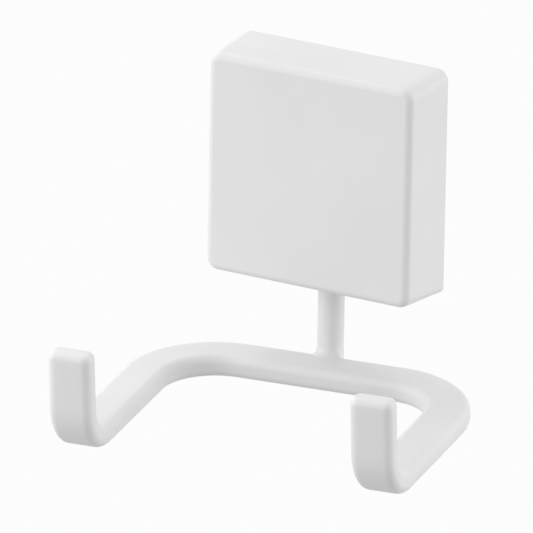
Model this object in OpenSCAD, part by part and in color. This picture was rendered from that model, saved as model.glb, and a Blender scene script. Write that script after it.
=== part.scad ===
// Adhesive wall hook: a square cover hung on a stuck wall plate, with a flat U-shaped
// double hook that turns on a round stem under the cover.
// Millimetres. The wall is the plane Y = 0, +Y points into it, and +Z is up.

/* [Cover] */
// Width and height of the cover's front face
cover_size = 60; // [54:0.5:70]
// Depth of the cover from its rim to its front face
cover_depth = 18.9; // [17:0.1:24]
// How much wider each side is at the rim than at the front
cover_draft = 0.66; // [0:0.02:1.2]
// Gap between the cover's rim and the wall
rim_gap = 0.4; // [0.3:0.05:0.6]
// Radius of the two upper outline corners
top_corner = 3.3; // [2.8:0.1:6]
// Radius of the two lower outline corners
bottom_corner = 2.6; // [2.4:0.1:6]
// Rounding of the front edges
front_round = 2.0; // [1:0.1:2.4]
// Wall thickness of the cover
cover_wall = 2.0; // [1.6:0.1:2.4]

/* [Wall plate] */
// Thickness of the foam pad that sticks to the wall
pad_thickness = 1.0; // [0.6:0.1:1.2]
// Thickness of the wall plate
plate_thickness = 2.0; // [1.6:0.1:2.4]
// Distance between the cover's inside and the plate's edge
plate_inset = 5; // [4:0.5:7]
// Distance between the two headed studs
stud_spacing = 26; // [22:0.5:30]
// Height of the studs above the middle of the plate
stud_height = 9; // [7:0.5:11]
// Radius of a stud's neck
neck_radius = 2.6; // [2.2:0.1:3]
// Radius of a stud's head
head_radius = 4.4; // [4:0.1:5]
// How far the cover lifts before the studs leave their slots
lift = 7.5; // [7:0.1:8]

/* [Stem] */
// Radius of the visible stem
stem_radius = 3.5; // [3:0.05:4]
// Distance of the stem's axis from the wall
stem_back = 5.0; // [4.8:0.1:5.6]
// Visible length of the stem, from the cover down to the bar
stem_gap = 22; // [16:0.5:30]
// Fillet where the stem meets the bar
stem_fillet = 1.3; // [0.8:0.1:2]

/* [Hook] */
// Distance from the stem's axis forward to the middle of the crossbar
bar_set = 7.05; // [6:0.05:8]
// Distance between the centre lines of the two arms
arm_spacing = 83; // [70:0.5:100]
// Reach of the arms, from the crossbar's centre line to the foot of the tips
arm_reach = 68.8; // [55:0.2:85]
// Width of the bar
bar_width = 11.9; // [9:0.1:14]
// Thickness of the bar
bar_thickness = 6.2; // [5:0.1:8]
// Rounding of the bar's long edges
bar_round = 2.4; // [1:0.1:2.8]
// Bend radius between crossbar and arms, on the centre line
bend_radius = 19.9; // [15:0.1:26]
// Bend radius between an arm and its tip, on the centre line
tip_bend = 12.4; // [8:0.1:13]
// Height of a tip above the arm's centre line
tip_height = 27.2; // [20:0.1:34]
// Rounding of the tip's end
tip_round = 1.2; // [0.6:0.1:2]
// Fall of the arms towards the front, in degrees
arm_slope = 2.5; // [0:0.1:6]
// Lean of the tips towards the front, in degrees
tip_lean = 5.9; // [0:0.1:15]
// Turn of the hook on its stem at rest, in degrees
hook_turn = 7.9; // [-12:0.1:12]

/* [Fits] */
// Radial clearance of the stem's journal in its seat
running_gap = 0.05; // [0.02:0.01:0.1]
// Clearance of loose moving pieces
free_gap = 0.3; // [0.2:0.05:0.4]

/* [Hidden] */
$fn = 64;
eps = 0.01;
// Cover: front and rim half sizes, rim and front planes
half_front = cover_size / 2;
half_rim = half_front + cover_draft;
rim_y = -rim_gap;
front_y = -(rim_gap + cover_depth);
inner_half = half_front - cover_wall;
inner_front_y = front_y + cover_wall + 0.2;
inner_top = max(top_corner - cover_wall, 0.4);
inner_bottom = max(bottom_corner - cover_wall, 0.4);
// Plate and carrier planes
plate_back_y = -pad_thickness;
plate_front_y = -(pad_thickness + plate_thickness);
carrier_back_y = plate_front_y - free_gap;
carrier_thickness = 3.4;
carrier_front_y = carrier_back_y - carrier_thickness;
carrier_half = inner_half - 0.8;
head_back_y = carrier_front_y - 0.2;
head_thickness = 1.8;
neck_length = plate_front_y - head_back_y;
// Seat of the stem
stem_y = -stem_back;
journal_radius = stem_radius - 1.1;
groove_radius = journal_radius - 0.5;
ring_floor = journal_radius - 0.9;
seat_half = 7;
seat_bottom = -inner_half + 0.6;
seat_top = seat_bottom + 11;
seat_front = 5.2;
seat_depth = stem_back + seat_front - rim_gap - 0.5;
clip_recess = 5.2;
shoulder_z = -inner_half + 0.2;
washer_thickness = 0.8;
clip_thickness = 0.9;
washer_z = seat_top + running_gap;
clip_z = washer_z + washer_thickness;
journal_top = clip_z + clip_thickness + 1.4;
ring_z = (seat_bottom + seat_top) / 2;
ring_outer = journal_radius + running_gap - 0.02;
ring_section = (ring_outer - ring_floor) / 2;
// Wall plate outline and its notch around the seat
plate_half = inner_half - plate_inset;
plate_top = inner_half - 3;
plate_bottom = -inner_half + lift + 0.4;
notch_half = seat_half + 0.6;
notch_top = journal_top + lift + 0.6;
// Screws that hold the carrier in the cover
screw_inset_x = 6;
screw_inset_z = 8;
screw_x = carrier_half - screw_inset_x;
screw_z = carrier_half - screw_inset_z;
boss_radius = 3;
shank_radius = 1.25;
screw_head_radius = 2.5;
screw_head = 1.5;
screw_length = 8;
// Hook
bar_z = -half_front - stem_gap - bar_thickness / 2;
half_span = arm_spacing / 2;
straight_half = half_span - bend_radius;
tip_turn = 90 - (tip_lean - arm_slope);
tip_tangent = tip_bend * tan(tip_turn / 2);
arm_end = arm_reach / cos(arm_slope) - tip_tangent;
tip_length = tip_height - tip_tangent;
tip_inset = 0.02;
tip_start_y = -arm_end - tip_bend * sin(tip_turn);
tip_start_z = tip_bend - tip_bend * cos(tip_turn);
boss_top = bar_z + bar_thickness / 2 + bar_set * sin(arm_slope) - 0.1;
boss_bottom = bar_z - bar_thickness / 2 + bar_set * sin(arm_slope) + 0.1;
boss_plan = stem_radius + stem_fillet;

// Square outline in X and Z with its own upper and lower corner radii
module outline(half, upper, lower) {
    square([2 * (half - upper), 2 * half], center = true);
    translate([-half, -half + lower])
        square([2 * half, 2 * half - upper - lower]);
    translate([-half + lower, -half])
        square([2 * (half - lower), half]);
    for (s = [-1, 1]) {
        translate([s * (half - upper), half - upper])
            circle(upper);
        translate([s * (half - lower), -half + lower])
            circle(lower);
    }
}

// Plain rounded rectangle from corner to corner
module rounded(x0, z0, x1, z1, r) {
    translate([x0 + r, z0])
        square([x1 - x0 - 2 * r, z1 - z0]);
    translate([x0, z0 + r])
        square([x1 - x0, z1 - z0 - 2 * r]);
    for (x = [x0 + r, x1 - r])
        for (z = [z0 + r, z1 - r])
            translate([x, z])
                circle(r);
}

// A flat shape standing in X and Z, from plane y forward by t
module upright(y, t) {
    translate([0, y, 0])
        rotate([90, 0, 0])
            linear_extrude(t)
                children();
}

// A round bar along Y, from plane y forward by t
module peg(x, z, y, t, r) {
    translate([x, y, z])
        rotate([90, 0, 0])
            cylinder(h = t, r = r);
}

// The cover's outside at distance d from its rim, drawn in by i
module cover_ring(d, i) {
    grow = cover_draft * (cover_depth - d) / cover_depth;
    upright(rim_y - d + eps, eps)
        outline(half_front + grow - i, max(top_corner - i, 0.3), max(bottom_corner - i, 0.3), $fn = 32);
}

module plate_notch() {
    translate([-notch_half, plate_bottom - 5])
        square([2 * notch_half, notch_top - plate_bottom + 5]);
}

module bar_section() {
    rounded(-bar_width / 2, -bar_thickness / 2, bar_width / 2, bar_thickness / 2, bar_round);
}

module adhesive_pad() {
    color([0.86, 0.86, 0.82])
        upright(0, pad_thickness)
            difference() {
                rounded(-plate_half + 1, plate_bottom + 1, plate_half - 1, plate_top - 1, 2);
                plate_notch();
            }
}

module wall_plate() {
    color([0.93, 0.93, 0.92]) {
        upright(plate_back_y, plate_thickness)
            difference() {
                rounded(-plate_half, plate_bottom, plate_half, plate_top, 3);
                plate_notch();
            }
        for (s = [-1, 1]) {
            peg(s * stud_spacing / 2, stud_height, plate_front_y + 0.5, neck_length + 1, neck_radius);
            peg(s * stud_spacing / 2, stud_height, head_back_y, head_thickness, head_radius);
        }
    }
}

module front_cover() {
    color([0.96, 0.96, 0.96])
        difference() {
            union() {
                difference() {
                    hull() {
                        cover_ring(0, 0);
                        for (a = [0:15:90])
                            cover_ring(cover_depth - front_round * (1 - sin(a)), front_round * (1 - cos(a)));
                    }
                    hull() {
                        upright(rim_y + 1, eps)
                            outline(half_rim - cover_wall + 0.03, inner_top, inner_bottom, $fn = 32);
                        upright(inner_front_y + eps, eps)
                            outline(inner_half, inner_top, inner_bottom, $fn = 32);
                    }
                }
                for (x = [-screw_x, screw_x])
                    for (z = [-screw_z, screw_z])
                        peg(x, z, carrier_front_y, carrier_front_y - inner_front_y + 0.6, boss_radius);
            }
            for (x = [-screw_x, screw_x])
                for (z = [-screw_z, screw_z])
                    peg(x, z, carrier_front_y + 1, screw_length + 0.6, shank_radius + 0.02);
            translate([0, stem_y, -half_rim - 1])
                cylinder(h = cover_wall + 3, r = stem_radius + free_gap);
            translate([-stem_radius - free_gap, stem_y, -half_rim - 1])
                cube([2 * (stem_radius + free_gap), stem_back + 1, cover_wall + 3]);
        }
}

module carrier() {
    slot = neck_radius + 0.15;
    color([0.88, 0.89, 0.9])
        difference() {
            union() {
                upright(carrier_back_y, carrier_thickness)
                    difference() {
                        rounded(-carrier_half, seat_bottom, carrier_half, carrier_half, 2);
                        for (s = [-1, 1]) {
                            translate([s * stud_spacing / 2, stud_height - 0.13])
                                circle(slot);
                            translate([s * stud_spacing / 2 - slot, stud_height - lift])
                                square([2 * slot, lift - 0.13]);
                            translate([s * stud_spacing / 2, stud_height - lift])
                                circle(head_radius + 0.4);
                        }
                    }
                translate([-seat_half, stem_y - seat_front, seat_bottom])
                    cube([2 * seat_half, seat_depth, seat_top - seat_bottom]);
            }
            translate([0, stem_y, seat_bottom - 1])
                cylinder(h = seat_top - seat_bottom + 2, r = journal_radius + running_gap);
            translate([0, stem_y, seat_top])
                cylinder(h = journal_top - seat_top + 2, r = clip_recess);
            for (x = [-screw_x, screw_x])
                for (z = [-screw_z, screw_z]) {
                    peg(x, z, carrier_back_y + 1, carrier_thickness + 2, shank_radius + 0.15);
                    peg(x, z, carrier_back_y + 1, screw_head + 1.2, screw_head_radius + 0.3);
                }
        }
}

module carrier_screws() {
    seat_y = carrier_back_y - screw_head - 0.2;
    color([0.72, 0.73, 0.75])
        for (x = [-screw_x, screw_x])
            for (z = [-screw_z, screw_z])
                difference() {
                    union() {
                        peg(x, z, seat_y + screw_head, screw_head, screw_head_radius);
                        peg(x, z, seat_y + 0.2, screw_length, shank_radius);
                    }
                    translate([x - 1.5, seat_y + screw_head - 0.8, z - 0.3])
                        cube([3, 2, 0.6]);
                    translate([x - 0.3, seat_y + screw_head - 0.8, z - 1.5])
                        cube([0.6, 2, 3]);
                }
}

// The bar in its own plane, with the middle of the crossbar at the origin
module u_bar() {
    rotate([90, 0, 90])
        linear_extrude(2 * straight_half, center = true)
            bar_section();
    arm();
    mirror([1, 0, 0])
        arm();
}

// The right-hand bend, arm and tip
module arm() {
    translate([straight_half, -bend_radius, 0])
        rotate_extrude(angle = 90)
            translate([bend_radius, 0])
                bar_section();
    translate([half_span, -bend_radius, 0])
        rotate([90, 0, 0])
            linear_extrude(arm_end - bend_radius)
                bar_section();
    translate([half_span, -arm_end, tip_bend])
        rotate([180, 90, 0])
            rotate_extrude(angle = tip_turn)
                translate([tip_bend, 0])
                    rotate(90)
                        bar_section();
    translate([half_span, tip_start_y, tip_start_z])
        rotate([90 - tip_turn, 0, 0])
            tip();
}

// One tip, standing in the end of its bend, with all edges of its end rounded
module tip() {
    w = bar_width / 2 - tip_inset;
    t = bar_thickness / 2 - tip_inset;
    intersection() {
        translate([0, 0, -0.3])
            linear_extrude(tip_length + 0.3)
                rounded(-w, -t, w, t, bar_round);
        translate([0, bar_thickness, 0])
            rotate([90, 0, 0])
                linear_extrude(2 * bar_thickness)
                    rounded(-w, -5, w, tip_length, tip_round);
        translate([-bar_width, 0, 0])
            rotate([90, 0, 90])
                linear_extrude(2 * bar_width)
                    rounded(-t, -5, t, tip_length, tip_round);
    }
}

// The stem with its journal, and the boss that joins it to the rear of the bar
module stem() {
    translate([0, 0, boss_bottom])
        cylinder(h = shoulder_z - boss_bottom, r = stem_radius);
    difference() {
        translate([0, 0, shoulder_z - 0.5])
            cylinder(h = journal_top - shoulder_z + 0.5, r = journal_radius);
        translate([0, 0, clip_z])
            difference() {
                cylinder(h = clip_thickness, r = journal_radius + 1);
                translate([0, 0, -1])
                    cylinder(h = clip_thickness + 2, r = groove_radius);
            }
        translate([0, 0, ring_z - ring_section - 0.1])
            difference() {
                cylinder(h = 2 * ring_section + 0.2, r = journal_radius + 1);
                translate([0, 0, -1])
                    cylinder(h = 2 * ring_section + 2.2, r = ring_floor);
            }
    }
    translate([0, 0, boss_bottom])
        linear_extrude(boss_top - boss_bottom)
            intersection() {
                union() {
                    circle(boss_plan);
                    translate([-boss_plan, -bar_set])
                        square([2 * boss_plan, bar_set]);
                }
                translate([-10, -bar_set])
                    square([20, bar_set + 0.3]);
            }
    intersection() {
        translate([0, 0, boss_top])
            rotate_extrude()
                difference() {
                    translate([stem_radius - 1, -0.5])
                        square([stem_fillet + 1, stem_fillet + 0.5]);
                    translate([stem_radius + stem_fillet, stem_fillet])
                        circle(stem_fillet);
                }
        translate([-10, -bar_set, boss_top - 1])
            cube([20, bar_set + 0.3, stem_fillet + 2]);
    }
}

// Places a piece of the turning hook on the stem's axis
module on_stem() {
    translate([0, stem_y, 0])
        rotate([0, 0, hook_turn])
            children();
}

module hook() {
    color([0.95, 0.95, 0.95])
        on_stem() {
            stem();
            translate([0, -bar_set, bar_z])
                rotate([arm_slope, 0, 0])
                    u_bar();
        }
}

module friction_ring() {
    color([0.12, 0.12, 0.13])
        on_stem()
            translate([0, 0, ring_z])
                rotate_extrude()
                    translate([ring_floor + ring_section, 0])
                        circle(ring_section);
}

module thrust_washer() {
    color([0.85, 0.82, 0.7])
        on_stem()
            translate([0, 0, washer_z])
                difference() {
                    cylinder(h = washer_thickness, r = 4);
                    translate([0, 0, -1])
                        cylinder(h = washer_thickness + 2, r = journal_radius + 0.02);
                }
}

module retaining_clip() {
    color([0.55, 0.56, 0.58])
        on_stem()
            translate([0, 0, clip_z])
                difference() {
                    cylinder(h = clip_thickness, r = 3.7);
                    translate([0, 0, -1])
                        cylinder(h = clip_thickness + 2, r = groove_radius + 0.02);
                    translate([-groove_radius - 0.02, 0, -1])
                        cube([2 * (groove_radius + 0.02), 6, clip_thickness + 2]);
                }
}

adhesive_pad();
wall_plate();
front_cover();
carrier();
carrier_screws();
hook();
friction_ring();
thrust_washer();
retaining_clip();
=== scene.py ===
"""Looks of the adhesive wall hook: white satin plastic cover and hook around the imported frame."""
import math

import bmesh
import bpy
from mathutils import Matrix, Vector


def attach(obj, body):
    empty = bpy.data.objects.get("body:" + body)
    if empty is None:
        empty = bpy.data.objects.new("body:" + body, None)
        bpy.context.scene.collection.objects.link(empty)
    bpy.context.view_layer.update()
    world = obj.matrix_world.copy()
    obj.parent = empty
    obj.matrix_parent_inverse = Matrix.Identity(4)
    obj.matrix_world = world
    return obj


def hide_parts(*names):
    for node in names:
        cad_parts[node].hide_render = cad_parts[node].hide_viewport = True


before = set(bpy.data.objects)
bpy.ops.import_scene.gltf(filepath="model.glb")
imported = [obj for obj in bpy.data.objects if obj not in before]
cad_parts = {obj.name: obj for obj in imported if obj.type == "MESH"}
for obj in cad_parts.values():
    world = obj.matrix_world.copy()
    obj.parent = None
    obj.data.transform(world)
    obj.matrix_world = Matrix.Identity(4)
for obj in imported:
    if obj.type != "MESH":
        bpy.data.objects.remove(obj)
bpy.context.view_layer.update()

MM = 0.001

# Shapes are in millimetres and angles in degrees. Main sizes are those of the part's source.
# The lower corners, the tips' ends and the stem's flare are finer here than in the solids.

# Cover
COVER_HALF = 30.0
COVER_DEPTH = 18.9
COVER_DRAFT = 0.66
COVER_WALL = 2.0
FRONT_WALL = 2.2
RIM_Y = -0.4
TOP_CORNER = 3.3
BOTTOM_CORNER = 3.4  # at the front
RIM_BOTTOM_CORNER = 1.4
LEAST_CORNER = 0.5
FRONT_ROUND = 2.0
RIM_ROUND = 0.35
INNER_ROUND = 0.6
INNER_FLAT = 3.0  # inset of the innermost ring, on the flat inside of the front
COVER_CREASE = 32

# Rings of the cover: inside near the rim, shares of the side, and further insets on the front
RIM_LOOP = 1.0
SIDE_LOOPS = (0.1, 0.3, 0.6, 0.9, 0.98)
FRONT_LOOPS = (0.15, 0.6, 2.0, 6.0, 14.0)
CORNER_STEPS = 14
EDGE_STEPS = 10
RIM_STEPS = 6
FRONT_STEPS = 16

# Screw bosses inside the cover
BOSS_X = 21.2
BOSS_Z = 19.2
BOSS_RADIUS = 3.0
BOSS_BACK_Y = -6.7
BOSS_OVERLAP = 0.5  # into the front wall
BOSS_FOOT = 0.4
BOSS_FOOT_HEIGHT = 0.9
BOSS_CHAMFER = 0.2
BOSS_SIDES = 40
PILOT_RADIUS = 1.27
PILOT_DEPTH = 7.6

# Slot for the stem in the cover's lower wall
STEM_SLOT = 3.8
SLOT_BACK_Y = 3.0
SLOT_LEVELS = (-33.0, -26.5)
SLOT_STEPS = 24

# Stem, with each groove's lower end, upper end and radius
STEM_Y = -5.0
STEM_RADIUS = 3.5
STEM_SIDES = 96
STEM_LOOPS = (-46.0, -40.0, -34.0)
SHOULDER_Z = -27.8
SHOULDER_CHAMFER = 0.3
JOURNAL_RADIUS = 2.4
JOURNAL_TOP = -13.25
JOURNAL_CHAMFER = 0.4
RING_GROOVE = (-22.465, -21.335, 1.5)
CLIP_GROOVE = (-15.55, -14.65, 1.9)

# Foot of the stem, set a little inside the bar's faces, with its flare towards the front
FOOT_LIFT = 0.1
FOOT_SINK = 0.08
FOOT_FLAT = 1.6
FOOT_ROUND = 0.9
FOOT_ROUND_MIDDLE = 0.25
STEM_FLARE = 1.3
FRONT_FLARE = 2.6
FLARE_SINK = 0.6
FLARE_STEPS = 14
FLARE_ROOT = ((1.5, 0.4), (0.4, 1.0))  # depth below the foot's top, and share of the flare
FLARE_SPREADS = (0.1, 0.6)  # it grows from none to full between these shares of forward
FLARE_RISES = (0.2, 0.8)  # and comes up from its sunk level between these

# Hook
HOOK_TURN = 7.9
BAR_SET = 7.05
BAR_Z = -55.1
BAR_WIDTH = 11.9
BAR_THICKNESS = 6.2
BAR_ROUND = 2.4
LEAST_BAR_ROUND = 0.25
HALF_SPAN = 41.5
BEND_RADIUS = 19.9
ARM_REACH = 68.8
ARM_SLOPE = 2.5
TIP_BEND = 12.4
TIP_HEIGHT = 27.2
TIP_LEAN = 5.9
TIP_ROUND = 1.8
TIP_END_LOOPS = (0.2, 0.9)  # further insets on a tip's flat end
SKIN = 0.025  # keeps the bar just inside the CAD box
HOOK_CREASE = 40

# Stations along half of the bar. Straight runs stop short, so that no two stations coincide.
CROSSBAR_STEPS = 8
BEND_STEPS = 32
ARM_STEPS = 12
TIP_BEND_STEPS = 28
TIP_STEPS = 6
TIP_ROUND_STEPS = 8
STOP_SHORT = 0.999
SECTION_CORNER_STEPS = 10
SECTION_EDGE_STEPS = 4

# Range that a noise mostly stays in
NOISE_SPAN = (0.3, 0.7)

# Floor, in metres, and the share of plain white that viewers see on it
FLOOR_Z = -1.5
FLOOR_RADIUS = 8.0
FLOOR_SIDES = 96
FLOOR_TONE = 0.5
FLOOR_WHITE = 0.96

# Light; the lamps face a point that is given in metres
WORLD_STRENGTH = 0.79
LAMP_TARGET = (0.0, -0.03, -0.02)

# Camera, fitted to the photograph; its scale is in pixels per millimetre at the hook
IMAGE_SIZE = 533
CAMERA_AZIMUTH = 28.743
CAMERA_ELEVATION = 20.19
CAMERA_ROLL = -1.08
CAMERA_DISTANCE = 4000.0
CAMERA_SCALE = 3.847
CAMERA_OFFSET = (19.805, -27.639)
CAMERA_Y = -0.4
CAMERA_SENSOR = 36.0
CAMERA_CLIP = (0.1, 100.0)  # in metres


def quarter_turn(steps):
    """Angles in radians from none to a quarter turn, both included."""
    return [math.pi / 2 * k / steps for k in range(steps + 1)]


def ease(x, start=0.0, end=1.0):
    """A smooth step from 0 at the start to 1 at the end."""
    x = min(max((x - start) / (end - start), 0.0), 1.0)
    return x * x * (3 - 2 * x)


def corner_points(centre, radius, start, steps):
    """Points of a quarter circle, counter-clockwise from an angle in degrees."""
    angles = [math.radians(start + 90 * k / steps) for k in range(steps + 1)]
    return [(centre[0] + radius * math.cos(a), centre[1] + radius * math.sin(a)) for a in angles]


def rounded_outline(half_w, half_h, radii, corner_steps, edge_steps):
    """Closed outline of a rounded rectangle.

    The radii are for the four corners from the upper right one, turning left.
    """
    signs = ((1, 1), (-1, 1), (-1, -1), (1, -1))
    corners = []
    for i, ((sx, sy), r) in enumerate(zip(signs, radii)):
        centre = (sx * (half_w - r), sy * (half_h - r))
        corners.append(corner_points(centre, r, 90 * i, corner_steps))
    outline = []
    for i, points in enumerate(corners):
        outline += points
        a, b = points[-1], corners[(i + 1) % 4][0]
        for k in range(1, edge_steps):
            f = k / edge_steps
            outline.append((a[0] + (b[0] - a[0]) * f, a[1] + (b[1] - a[1]) * f))
    return outline


def add_loft(bm, rings):
    """Adds quads between rings of equal length, and a cap on each end."""
    loops = [[bm.verts.new(Vector(p) * MM) for p in ring] for ring in rings]
    count = len(loops[0])
    for a, b in zip(loops, loops[1:]):
        for j in range(count):
            k = (j + 1) % count
            bm.faces.new((a[j], a[k], b[k], b[j]))
    bm.faces.new(loops[0][::-1])
    bm.faces.new(loops[-1])


def finish_mesh(bm, name, material):
    """Turns a bmesh into a smooth-shaded object."""
    bmesh.ops.recalc_face_normals(bm, faces=bm.faces)
    mesh = bpy.data.meshes.new(name)
    bm.to_mesh(mesh)
    bm.free()
    mesh.materials.append(material)
    obj = bpy.data.objects.new(name, mesh)
    bpy.context.scene.collection.objects.link(obj)
    mesh.shade_smooth()
    return obj


def apply_modifiers(obj):
    """Bakes the object's modifiers into its mesh."""
    depsgraph = bpy.context.evaluated_depsgraph_get()
    mesh = bpy.data.meshes.new_from_object(obj.evaluated_get(depsgraph))
    obj.modifiers.clear()
    obj.data = mesh


def sharpen(obj, degrees):
    """Marks edges sharper than an angle, so that flats stay flat beside their roundings."""
    obj.data.set_sharp_from_angle(angle=math.radians(degrees))


def cover_ring(depth, half, top, bottom):
    """One closed ring of the cover at a depth from the rim, with upper and lower corner radii."""
    top, bottom = max(top, LEAST_CORNER), max(bottom, LEAST_CORNER)
    outline = rounded_outline(half, half, (top, top, bottom, bottom), CORNER_STEPS, EDGE_STEPS)
    return [(x, RIM_Y - depth, z) for x, z in outline]


def outer_ring(depth, inset=0.0):
    """A ring of the outside: towards the front it draws in, and its lower corners grow."""
    forward = depth / COVER_DEPTH
    half = COVER_HALF + COVER_DRAFT * (1 - forward) - inset
    bottom = RIM_BOTTOM_CORNER + (BOTTOM_CORNER - RIM_BOTTOM_CORNER) * forward - inset
    return cover_ring(depth, half, TOP_CORNER - inset, bottom)


def inner_ring(depth, inset=0.0):
    """A ring of the inside, whose walls are straight."""
    inset += COVER_WALL
    return cover_ring(depth, COVER_HALF - inset, TOP_CORNER - inset, RIM_BOTTOM_CORNER - inset)


def cover_shell_rings():
    """The shell from the middle of its inside, round the rim, to the middle of its front."""
    inner_depth = COVER_DEPTH - FRONT_WALL
    side = COVER_DEPTH - FRONT_ROUND - RIM_ROUND
    rings = [inner_ring(inner_depth, INNER_FLAT), inner_ring(inner_depth, INNER_ROUND)]
    rings += [inner_ring(inner_depth - INNER_ROUND), inner_ring(RIM_LOOP), inner_ring(0.0)]
    for a in quarter_turn(RIM_STEPS):
        rings.append(outer_ring(RIM_ROUND * (1 - math.cos(a)), RIM_ROUND * (1 - math.sin(a))))
    rings += [outer_ring(RIM_ROUND + side * share) for share in SIDE_LOOPS]
    for a in quarter_turn(FRONT_STEPS):
        depth = COVER_DEPTH - FRONT_ROUND * (1 - math.sin(a))
        rings.append(outer_ring(depth, FRONT_ROUND * (1 - math.cos(a))))
    rings += [outer_ring(COVER_DEPTH, FRONT_ROUND + inset) for inset in FRONT_LOOPS]
    return rings


def circle_ring(cx, cz, y, radius):
    """A ring round an axis along Y."""
    angles = [2 * math.pi * k / BOSS_SIDES for k in range(BOSS_SIDES)]
    return [(cx + radius * math.cos(a), y, cz + radius * math.sin(a)) for a in angles]


def add_boss(bm, x, z):
    """A screw boss inside the cover: a tube from the front wall back to the carrier."""
    root_y = RIM_Y - COVER_DEPTH + FRONT_WALL - BOSS_OVERLAP
    profile = (
        (root_y, BOSS_RADIUS + BOSS_FOOT),
        (root_y + BOSS_FOOT_HEIGHT, BOSS_RADIUS),
        (BOSS_BACK_Y - BOSS_CHAMFER, BOSS_RADIUS),
        (BOSS_BACK_Y, BOSS_RADIUS - BOSS_CHAMFER),
        (BOSS_BACK_Y, PILOT_RADIUS),
        (BOSS_BACK_Y - PILOT_DEPTH, PILOT_RADIUS),
    )
    add_loft(bm, [circle_ring(x, z, y, radius) for y, radius in profile])


def slot_cutter(material):
    """The open slot in the cover's lower wall that the stem passes through."""
    outline = [(STEM_SLOT, SLOT_BACK_Y)]
    for k in range(SLOT_STEPS + 1):
        a = -math.pi * k / SLOT_STEPS
        outline.append((STEM_SLOT * math.cos(a), STEM_Y + STEM_SLOT * math.sin(a)))
    outline.append((-STEM_SLOT, SLOT_BACK_Y))
    bm = bmesh.new()
    add_loft(bm, [[(x, y, z) for x, y in outline] for z in SLOT_LEVELS])
    return finish_mesh(bm, "slot_cutter", material)


def make_cover(material):
    """The square cover, with its slot and bosses."""
    bm = bmesh.new()
    add_loft(bm, cover_shell_rings())
    shell = finish_mesh(bm, "cover_shell", material)
    cutter = slot_cutter(material)
    cut = shell.modifiers.new("slot", "BOOLEAN")
    cut.object = cutter
    cut.operation = "DIFFERENCE"
    cut.solver = "EXACT"
    apply_modifiers(shell)
    bpy.data.objects.remove(cutter)
    bm = bmesh.new()
    bm.from_mesh(shell.data)
    for x in (-BOSS_X, BOSS_X):
        for z in (-BOSS_Z, BOSS_Z):
            add_boss(bm, x, z)
    bm.to_mesh(shell.data)
    bm.free()
    shell.data.shade_smooth()
    sharpen(shell, COVER_CREASE)
    return shell


def stem_place():
    """From the stem's own frame to the part's: its place, and its turn."""
    turn = Matrix.Rotation(math.radians(HOOK_TURN), 4, "Z")
    return Matrix.Translation((0, STEM_Y, 0)) @ turn


def bar_place():
    """From the bar's own frame to the part's: in front of the stem, with the fall of the arms."""
    fall = Matrix.Rotation(math.radians(ARM_SLOPE), 4, "X")
    return stem_place() @ Matrix.Translation((0, -BAR_SET, BAR_Z)) @ fall


def right_half_path():
    """Stations of the right half of the bar, from beside its middle to the end of the tip.

    Each station is a point, the direction of travel and the outward width direction, in the
    bar's own frame.
    """
    turn = math.radians(90 - (TIP_LEAN - ARM_SLOPE))
    tangent = TIP_BEND * math.tan(turn / 2)
    straight = HALF_SPAN - BEND_RADIUS
    arm_end = ARM_REACH / math.cos(math.radians(ARM_SLOPE)) - tangent
    arm = (arm_end - BEND_RADIUS) * STOP_SHORT
    across, out, ahead = Vector((1, 0, 0)), Vector((0, 1, 0)), Vector((0, -1, 0))
    stations = []
    for k in range(1, CROSSBAR_STEPS + 1):
        stations.append((across * (straight * STOP_SHORT * k / CROSSBAR_STEPS), across, out))
    centre = Vector((straight, -BEND_RADIUS, 0))
    for a in reversed(quarter_turn(BEND_STEPS)):
        radial = Vector((math.cos(a), math.sin(a), 0))
        travel = Vector((math.sin(a), -math.cos(a), 0))
        stations.append((centre + radial * BEND_RADIUS, travel, radial))
    for k in range(1, ARM_STEPS + 1):
        point = Vector((HALF_SPAN, -BEND_RADIUS - arm * k / ARM_STEPS, 0))
        stations.append((point, ahead, across))
    for k in range(TIP_BEND_STEPS + 1):
        a = turn * k / TIP_BEND_STEPS
        rise = TIP_BEND * (1 - math.cos(a))
        point = Vector((HALF_SPAN, -arm_end - TIP_BEND * math.sin(a), rise))
        stations.append((point, Vector((0, -math.cos(a), math.sin(a))), across))
    start, travel, width = stations[-1]
    length = TIP_HEIGHT - tangent - TIP_ROUND - SKIN
    for k in range(1, TIP_STEPS + 1):
        stations.append((start + travel * (length * k / TIP_STEPS), travel, width))
    return stations


def section_ring(station, inset=0.0, ahead=0.0):
    """The bar's rounded section at a station, drawn in by an inset and moved along the path."""
    point, travel, width = station
    up = travel.cross(width)
    half_w = BAR_WIDTH / 2 - SKIN - inset
    half_t = BAR_THICKNESS / 2 - SKIN - inset
    radii = [max(BAR_ROUND - inset, LEAST_BAR_ROUND)] * 4
    outline = rounded_outline(half_w, half_t, radii, SECTION_CORNER_STEPS, SECTION_EDGE_STEPS)
    return [point + travel * ahead + width * u + up * v for u, v in outline]


def bar_rings():
    """All rings of the bar, from the left tip's end to the right tip's end."""
    right = right_half_path()
    mirror = Matrix.Diagonal((-1, 1, 1))
    left = [(mirror @ p, -(mirror @ t), mirror @ w) for p, t, w in reversed(right)]
    middle = (Vector((0, 0, 0)), Vector((1, 0, 0)), Vector((0, 1, 0)))
    rings = [section_ring(station) for station in left + [middle] + right]
    end = []
    for a in quarter_turn(TIP_ROUND_STEPS)[1:]:
        end.append((TIP_ROUND * (1 - math.cos(a)), TIP_ROUND * math.sin(a)))
    end += [(TIP_ROUND + inset, TIP_ROUND) for inset in TIP_END_LOOPS]
    first = [section_ring(left[0], inset, -ahead) for inset, ahead in reversed(end)]
    last = [section_ring(right[-1], inset, ahead) for inset, ahead in end]
    place = bar_place()
    return [[place @ p for p in ring] for ring in first + rings + last]


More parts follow.
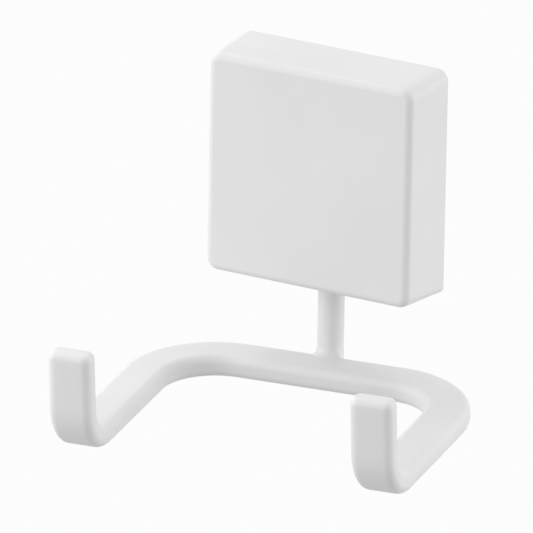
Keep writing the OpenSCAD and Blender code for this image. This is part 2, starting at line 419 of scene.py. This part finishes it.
def stem_ring(z, radius, flare=0.0):
    """A ring of the stem. The flare is a share of the foot's, wide in front and none behind."""
    place = stem_place()
    ring = []
    for k in range(STEM_SIDES):
        a = 2 * math.pi * k / STEM_SIDES
        forward = -math.sin(a)
        reach = STEM_FLARE + (FRONT_FLARE - STEM_FLARE) * ease(forward)
        r = radius + flare * reach * ease(forward, *FLARE_SPREADS)
        sink = flare * FLARE_SINK * (1 - ease(forward, *FLARE_RISES))
        ring.append(place @ Vector((r * math.cos(a), r * math.sin(a), z - sink)))
    return ring


def stem_rings():
    """The stem from the bottom of its foot to the top of its journal."""
    bar_rise = BAR_SET * math.sin(math.radians(ARM_SLOPE))
    foot_bottom = BAR_Z - BAR_THICKNESS / 2 + bar_rise + FOOT_LIFT
    foot_top = BAR_Z + BAR_THICKNESS / 2 - FOOT_SINK
    foot = [
        (foot_bottom, STEM_RADIUS - FOOT_FLAT),
        (foot_bottom, STEM_RADIUS - FOOT_ROUND),
        (foot_bottom + FOOT_ROUND_MIDDLE, STEM_RADIUS - FOOT_ROUND_MIDDLE),
        (foot_bottom + FOOT_ROUND, STEM_RADIUS),
    ]
    flare = [(foot_top - depth, STEM_RADIUS, share) for depth, share in FLARE_ROOT]
    for a in quarter_turn(FLARE_STEPS):
        rise = FRONT_FLARE * (1 - math.cos(a))
        flare.append((foot_top + rise, STEM_RADIUS, 1 - math.sin(a)))
    shaft = [(z, STEM_RADIUS) for z in STEM_LOOPS]
    shaft += [
        (SHOULDER_Z - SHOULDER_CHAMFER, STEM_RADIUS),
        (SHOULDER_Z, STEM_RADIUS - SHOULDER_CHAMFER),
        (SHOULDER_Z, JOURNAL_RADIUS),
    ]
    journal = []
    for low, high, radius in (RING_GROOVE, CLIP_GROOVE):
        journal += [(low, JOURNAL_RADIUS), (low, radius), (high, radius), (high, JOURNAL_RADIUS)]
    journal += [
        (JOURNAL_TOP - JOURNAL_CHAMFER, JOURNAL_RADIUS),
        (JOURNAL_TOP, JOURNAL_RADIUS - JOURNAL_CHAMFER),
    ]
    return [stem_ring(*row) for row in foot + flare + shaft + journal]


def make_hook(material):
    """The hook: the bent bar, and the stem with its flared foot."""
    bm = bmesh.new()
    add_loft(bm, bar_rings())
    add_loft(bm, stem_rings())
    body = finish_mesh(bm, "hook_body", material)
    sharpen(body, HOOK_CREASE)
    return body


def new_material(name, roughness, **sockets):
    """A Principled material, with plain numbers set on the shader's own sockets."""
    mat = bpy.data.materials.new(name)
    mat.use_nodes = True
    shader = mat.node_tree.nodes["Principled BSDF"]
    shader.inputs["Roughness"].default_value = roughness
    for key, value in sockets.items():
        shader.inputs[key].default_value = value
    return mat, mat.node_tree, shader


def object_noise(tree, scale, detail=3.0, roughness=0.5, stretch=(1, 1, 1)):
    """Noise in the object's own coordinates, with its features counted per metre."""
    coords = tree.nodes.new("ShaderNodeTexCoord")
    mapping = tree.nodes.new("ShaderNodeMapping")
    mapping.inputs["Scale"].default_value = stretch
    noise = tree.nodes.new("ShaderNodeTexNoise")
    noise.inputs["Scale"].default_value = scale
    noise.inputs["Detail"].default_value = detail
    noise.inputs["Roughness"].default_value = roughness
    tree.links.new(coords.outputs["Object"], mapping.inputs["Vector"])
    tree.links.new(mapping.outputs["Vector"], noise.inputs["Vector"])
    return noise.outputs["Fac"]


def tint(tree, shader, pattern, dark, light, span=NOISE_SPAN):
    """Colour between two close tones, led by a pattern."""
    ramp = tree.nodes.new("ShaderNodeValToRGB")
    for stop, position, colour in zip(ramp.color_ramp.elements, span, (dark, light)):
        stop.position = position
        stop.color = (*colour, 1)
    tree.links.new(pattern, ramp.inputs["Fac"])
    tree.links.new(ramp.outputs["Color"], shader.inputs["Base Color"])


def vary_roughness(tree, shader, pattern, low, high):
    """Roughness between two values, led by a noise."""
    spread = tree.nodes.new("ShaderNodeMapRange")
    spread.inputs["From Min"].default_value = NOISE_SPAN[0]
    spread.inputs["From Max"].default_value = NOISE_SPAN[1]
    spread.inputs["To Min"].default_value = low
    spread.inputs["To Max"].default_value = high
    tree.links.new(pattern, spread.inputs["Value"])
    tree.links.new(spread.outputs["Result"], shader.inputs["Roughness"])


def grain(tree, shader, pattern, strength, depth):
    """Fine surface relief, led by a pattern."""
    bump = tree.nodes.new("ShaderNodeBump")
    bump.inputs["Strength"].default_value = strength
    bump.inputs["Distance"].default_value = depth * MM
    tree.links.new(pattern, bump.inputs["Height"])
    tree.links.new(bump.outputs["Normal"], shader.inputs["Normal"])


def plastic(name, roughness, relief, dark, light):
    """Moulded plastic: slow tone and gloss changes, and the mould's fine grain."""
    mat, tree, shader = new_material(name, roughness, IOR=1.49)
    tint(tree, shader, object_noise(tree, scale=38, detail=2.0), dark, light)
    gloss = object_noise(tree, scale=420, detail=4.0)
    vary_roughness(tree, shader, gloss, roughness - 0.04, roughness + 0.05)
    mould = object_noise(tree, scale=2600, roughness=0.6)
    grain(tree, shader, mould, strength=relief, depth=0.03)
    return mat


def metal(name, roughness, stretch, dark, light):
    """Plated or bare steel with drawn streaks."""
    mat, tree, shader = new_material(name, roughness, Metallic=1.0)
    streaks = object_noise(tree, scale=700, detail=4.0, roughness=0.6, stretch=stretch)
    tint(tree, shader, streaks, dark, light)
    vary_roughness(tree, shader, streaks, roughness - 0.08, roughness + 0.08)
    grain(tree, shader, streaks, strength=0.15, depth=0.02)
    return mat


def foam(name, roughness, dark, light):
    """Closed-cell foam: small cells in relief and in tone."""
    mat, tree, shader = new_material(name, roughness, IOR=1.4)
    coords = tree.nodes.new("ShaderNodeTexCoord")
    cells = tree.nodes.new("ShaderNodeTexVoronoi")
    cells.inputs["Scale"].default_value = 1500
    tree.links.new(coords.outputs["Object"], cells.inputs["Vector"])
    tint(tree, shader, cells.outputs["Distance"], dark, light, span=(0.0, 0.5))
    grain(tree, shader, cells.outputs["Distance"], strength=0.5, depth=0.08)
    return mat


def maths_node(tree, operation, first):
    """A maths node with a socket as its first value; the second is left to the caller."""
    node = tree.nodes.new("ShaderNodeMath")
    node.operation = operation
    tree.links.new(first, node.inputs[0])
    return node


def white_for_viewers(tree, plain, white, share):
    """Mixes a plain shader with white that only camera, glossy and transmission rays see.

    The share of white stays below 1 on the floor, so that the floor keeps the hook's shadow.
    """
    path = tree.nodes.new("ShaderNodeLightPath")
    direct = maths_node(tree, "MAXIMUM", path.outputs["Is Camera Ray"])
    tree.links.new(path.outputs["Is Glossy Ray"], direct.inputs[1])
    seen = maths_node(tree, "MAXIMUM", direct.outputs[0])
    tree.links.new(path.outputs["Is Transmission Ray"], seen.inputs[1])
    amount = maths_node(tree, "MULTIPLY", seen.outputs[0])
    amount.inputs[1].default_value = share
    mix = tree.nodes.new("ShaderNodeMixShader")
    tree.links.new(amount.outputs[0], mix.inputs["Fac"])
    tree.links.new(plain, mix.inputs[1])
    tree.links.new(white, mix.inputs[2])
    return mix.outputs["Shader"]


def make_world():
    """An even pale surround, which viewers see as white."""
    world = bpy.data.worlds.new("studio")
    world.use_nodes = True
    tree = world.node_tree
    plain = tree.nodes["Background"]
    white = tree.nodes.new("ShaderNodeBackground")
    for node, strength in ((plain, WORLD_STRENGTH), (white, 1.0)):
        node.inputs["Color"].default_value = (1, 1, 1, 1)
        node.inputs["Strength"].default_value = strength
    surface = white_for_viewers(
        tree, plain.outputs["Background"], white.outputs["Background"], share=1.0
    )
    tree.links.new(surface, tree.nodes["World Output"].inputs["Surface"])
    bpy.context.scene.world = world


def make_floor():
    """A wide pale floor well below the hook."""
    mat, tree, shader = new_material("pale_floor", roughness=0.9)
    shader.inputs["Base Color"].default_value = (FLOOR_TONE, FLOOR_TONE, FLOOR_TONE, 1)
    white = tree.nodes.new("ShaderNodeEmission")
    white.inputs["Color"].default_value = (1, 1, 1, 1)
    white.inputs["Strength"].default_value = 1.0
    surface = white_for_viewers(
        tree, shader.outputs["BSDF"], white.outputs["Emission"], share=FLOOR_WHITE
    )
    tree.links.new(surface, tree.nodes["Material Output"].inputs["Surface"])
    bm = bmesh.new()
    bmesh.ops.create_circle(bm, cap_ends=True, segments=FLOOR_SIDES, radius=FLOOR_RADIUS)
    bmesh.ops.translate(bm, verts=bm.verts, vec=(0, 0, FLOOR_Z))
    floor = finish_mesh(bm, "floor", mat)


def softbox(name, azimuth, elevation, distance, size, power):
    """A large area lamp that faces the hook. Azimuth 0 is in front, and 90 to the right."""
    a, e = math.radians(azimuth), math.radians(elevation)
    back = Vector((math.sin(a) * math.cos(e), -math.cos(a) * math.cos(e), math.sin(e)))
    lamp = bpy.data.lights.new(name, "AREA")
    lamp.shape = "RECTANGLE"
    lamp.size, lamp.size_y = size
    lamp.energy = power
    obj = bpy.data.objects.new(name, lamp)
    obj.location = Vector(LAMP_TARGET) + back * distance
    obj.rotation_mode = "QUATERNION"
    obj.rotation_quaternion = (-back).to_track_quat("-Z", "Y")
    obj.visible_camera = False
    bpy.context.scene.collection.objects.link(obj)


def make_camera():
    """The photograph's camera: its direction, its roll and its long lens."""
    a, e = math.radians(CAMERA_AZIMUTH), math.radians(CAMERA_ELEVATION)
    ahead = Vector((-math.sin(a) * math.cos(e), math.cos(a) * math.cos(e), -math.sin(e)))
    right = Vector((math.cos(a), math.sin(a), 0))
    down = ahead.cross(right)
    c, s = math.cos(math.radians(CAMERA_ROLL)), math.sin(math.radians(CAMERA_ROLL))
    right, down = right * c + down * s, down * c - right * s
    data = bpy.data.cameras.new("camera")
    data.sensor_width = CAMERA_SENSOR
    data.lens = CAMERA_SENSOR * CAMERA_SCALE * CAMERA_DISTANCE / IMAGE_SIZE
    data.clip_start, data.clip_end = CAMERA_CLIP
    camera = bpy.data.objects.new("camera", data)
    spot = -(right * CAMERA_OFFSET[0] + down * CAMERA_OFFSET[1] + ahead * CAMERA_DISTANCE)
    spot.y += CAMERA_Y
    turn = Matrix((right, -down, -ahead)).transposed().to_4x4()
    camera.matrix_world = Matrix.Translation(spot * MM) @ turn
    bpy.context.scene.collection.objects.link(camera)
    bpy.context.scene.camera = camera


def paint(node, material):
    """Gives a carried-over CAD node its material."""
    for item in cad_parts[node].material_slots:
        item.material = material


make_camera()

white_plastic = plastic(
    "white_plastic", roughness=0.45, relief=0.12,
    dark=(0.78, 0.78, 0.78), light=(0.81, 0.81, 0.81),
)
inner_plastic = plastic(
    "inner_plastic", roughness=0.55, relief=0.3,
    dark=(0.68, 0.69, 0.7), light=(0.74, 0.75, 0.76),
)
washer_plastic = plastic(
    "washer_plastic", roughness=0.5, relief=0.2,
    dark=(0.66, 0.62, 0.5), light=(0.74, 0.7, 0.58),
)
black_rubber = plastic(
    "black_rubber", roughness=0.7, relief=0.5,
    dark=(0.012, 0.012, 0.013), light=(0.03, 0.03, 0.032),
)
zinc_steel = metal(
    "zinc_steel", roughness=0.35, stretch=(1, 0.2, 1),
    dark=(0.5, 0.51, 0.53), light=(0.68, 0.69, 0.71),
)
clip_steel = metal(
    "clip_steel", roughness=0.4, stretch=(1, 1, 0.2),
    dark=(0.3, 0.31, 0.33), light=(0.45, 0.46, 0.48),
)
pad_foam = foam("pad_foam", roughness=0.85, dark=(0.62, 0.61, 0.56), light=(0.76, 0.75, 0.7))

cover = make_cover(white_plastic)
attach(cover, "cover")
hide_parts("front_cover")

hook = make_hook(white_plastic)
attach(hook, "swivel_hook")
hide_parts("hook")

paint("adhesive_pad", pad_foam)
paint("wall_plate", inner_plastic)
paint("carrier", inner_plastic)
paint("carrier_screws", zinc_steel)
paint("friction_ring", black_rubber)
paint("thrust_washer", washer_plastic)
paint("retaining_clip", clip_steel)

make_floor()
make_world()
softbox("front_left", azimuth=-40, elevation=18, distance=1.2, size=(0.8, 1.0), power=2.8)
softbox("near_left", azimuth=-60, elevation=0, distance=0.5, size=(0.4, 0.4), power=0.62)
softbox("rear_left", azimuth=-110, elevation=45, distance=1.2, size=(0.7, 0.7), power=2.8)
softbox("right", azimuth=127, elevation=2, distance=1.2, size=(0.5, 1.0), power=4.2)

bpy.context.scene.view_settings.view_transform = "Standard"
